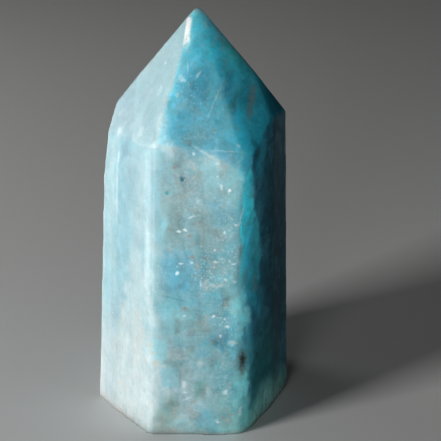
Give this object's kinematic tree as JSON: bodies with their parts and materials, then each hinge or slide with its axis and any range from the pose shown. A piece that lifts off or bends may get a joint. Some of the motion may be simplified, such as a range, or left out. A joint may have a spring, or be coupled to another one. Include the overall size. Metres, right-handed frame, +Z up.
{
  "type": "apatite wand",
  "caption": "Free-standing polished blue apatite point: an uneven hexagonal column that tapers to a faceted tip, sawn flat at the base.",
  "frame": {"origin": "middle of the sawn base, on the surface that it stands on", "axes": "+Z up the column to the tip, -Y out of the front face, +X to the right of the front face"},
  "size_m": [0.0369, 0.0342, 0.078],
  "materials": {
    "polished_apatite": "polished"
  },
  "bodies": {
    "root": {"apatite_wand": "polished_apatite"}
  },
  "joints": []
}
